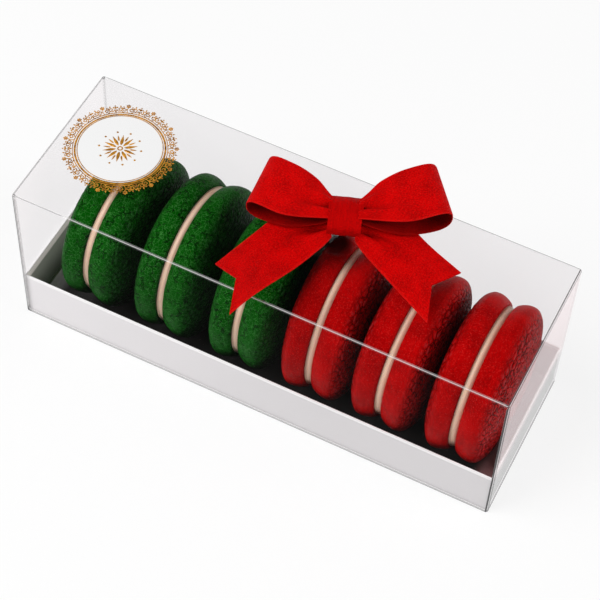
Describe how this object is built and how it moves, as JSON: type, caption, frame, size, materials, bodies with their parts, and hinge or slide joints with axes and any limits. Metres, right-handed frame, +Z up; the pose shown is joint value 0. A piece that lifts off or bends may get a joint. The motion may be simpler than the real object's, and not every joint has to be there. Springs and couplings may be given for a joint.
{
  "type": "box of macarons",
  "caption": "Long clear plastic gift box on a shallow white card tray, holding a row of green and red macarons, with a round gold-bordered label and a red ribbon bow.",
  "frame": {"origin": "centre of the tray's underside", "axes": "+X along the box, from the green macarons to the red ones; -Y is the front that the picture shows; +Z up"},
  "size_m": [0.17, 0.0779, 0.0763],
  "materials": {
    "clear_plastic": "clear, glossy folded film",
    "white_card": "smooth white card",
    "green_shell": "deep green baked shell, finely wrinkled, soft sheen",
    "red_shell": "deep red baked shell, finely wrinkled, soft sheen",
    "filling": "pale cream filling",
    "label_film": "white label, satin",
    "gold_foil": "gold foil print",
    "red_ribbon": "woven red ribbon"
  },
  "bodies": {
    "root": {"cover": "clear_plastic", "tray": "white_card", "macaron_1_shell_left": "green_shell", "macaron_1_shell_right": "green_shell", "macaron_1_filling": "filling", "macaron_2_shell_left": "green_shell", "macaron_2_shell_right": "green_shell", "macaron_2_filling": "filling", "macaron_3_shell_left": "green_shell", "macaron_3_shell_right": "green_shell", "macaron_3_filling": "filling", "macaron_4_shell_left": "red_shell", "macaron_4_shell_right": "red_shell", "macaron_4_filling": "filling", "macaron_5_shell_left": "red_shell", "macaron_5_shell_right": "red_shell", "macaron_5_filling": "filling", "macaron_6_shell_left": "red_shell", "macaron_6_shell_right": "red_shell", "macaron_6_filling": "filling", "label_disc": "label_film", "label_border": "gold_foil", "bow_loop_left": "red_ribbon", "bow_loop_right": "red_ribbon", "bow_tail_left": "red_ribbon", "bow_tail_right": "red_ribbon", "bow_knot": "red_ribbon"}
  },
  "joints": []
}
